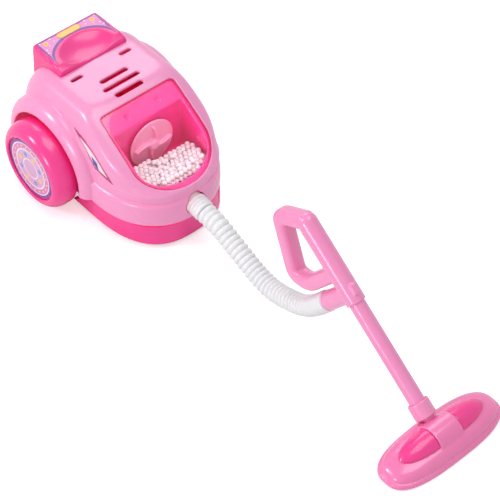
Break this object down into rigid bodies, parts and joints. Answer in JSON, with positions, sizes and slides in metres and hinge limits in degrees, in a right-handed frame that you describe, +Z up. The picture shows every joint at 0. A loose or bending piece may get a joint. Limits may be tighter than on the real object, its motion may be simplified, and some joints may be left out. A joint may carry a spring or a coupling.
{
  "type": "toy canister vacuum cleaner",
  "caption": "Pink toy canister vacuum cleaner with rolling wheels, a clear bead chamber with a fan, a ribbed hose, and a wand with a loop handle and a tilting floor head.",
  "frame": {"origin": "middle of the footprint, on the floor", "axes": "+X from the canister to the floor head, +Y to the canister's left, +Z up"},
  "size_m": [0.3364, 0.103, 0.0899],
  "materials": {
    "pale_pink": "gloss",
    "hot_pink": "gloss",
    "clear_plastic": "clear",
    "foam_bead": "matte",
    "white_hose": "satin",
    "white_plastic": "gloss",
    "steel": "satin",
    "contact_brass": "satin",
    "black_plastic": "matte",
    "cell_jacket": "gloss",
    "hub_print": "gloss"
  },
  "bodies": {
    "canister": {"upper_cover": "pale_pink", "base_tray": "hot_pink", "rear_grip": "hot_pink", "window": "clear_plastic", "chamber_tub": "hot_pink", "bead_fill": "foam_bead", "motor_can": "steel", "battery_door": "hot_pink", "switch_body": "black_plastic", "hose_outlet": "white_hose", "front_foot_left": "white_plastic", "front_foot_right": "white_plastic", "battery_left": "cell_jacket", "battery_right": "cell_jacket", "contact_strip_left": "contact_brass", "contact_strip_right": "contact_brass", "case_screw_1": "steel", "case_screw_2": "steel", "case_screw_3": "steel", "case_screw_4": "steel", "hose": "white_hose"},
    "running_gear": {"rear_axle": "steel", "axle_cap_left": "steel", "axle_cap_right": "steel"},
    "left_wheel": {"wheel_left": "hot_pink", "hub_disc_left": "hub_print"},
    "right_wheel": {"wheel_right": "hot_pink", "hub_disc_right": "hub_print"},
    "fan_rotor": {"fan": "pale_pink", "motor_shaft": "steel"},
    "switch_slider": {"switch_knob": "black_plastic"},
    "wand": {"wand_handle": "pale_pink", "extension_tube": "pale_pink", "head_sleeve": "pale_pink"},
    "floor_head": {"head_cover": "pale_pink", "head_insert_left": "hot_pink", "head_insert_right": "hot_pink", "head_sole": "hot_pink", "head_pivot_pin": "steel"}
  },
  "joints": [
    {"name": "axle_float", "type": "slide", "parent": "canister", "child": "running_gear", "axis": [0, 1, 0], "range_m": [0, 0.007]},
    {"name": "left_wheel_spin", "type": "hinge", "parent": "running_gear", "child": "left_wheel", "pos_m": [-0.12673, 0.0435, 0.0276], "axis": [0, 1, 0], "continuous": true},
    {"name": "right_wheel_spin", "type": "hinge", "parent": "running_gear", "child": "right_wheel", "pos_m": [-0.12673, -0.0435, 0.0276], "axis": [0, 1, 0], "continuous": true},
    {"name": "fan_spin", "type": "hinge", "parent": "canister", "child": "fan_rotor", "pos_m": [-0.08273, 0.0035, 0.0468], "axis": [1, 0, 0], "continuous": true},
    {"name": "switch_slide", "type": "slide", "parent": "canister", "child": "switch_slider", "axis": [0, 1, 0], "range_m": [0, 0.004]},
    {"name": "wand_swing", "type": "hinge", "parent": "canister", "child": "wand", "pos_m": [0.01327, 0.0035, 0.01], "axis": [0, 0, 1], "range_deg": [-20, 20], "deforming": ["hose"]},
    {"name": "head_tilt", "type": "hinge", "parent": "wand", "child": "floor_head", "pos_m": [0.14487, 0.0035, 0.0086], "axis": [0, 1, 0], "range_deg": [-10, 10]}
  ]
}
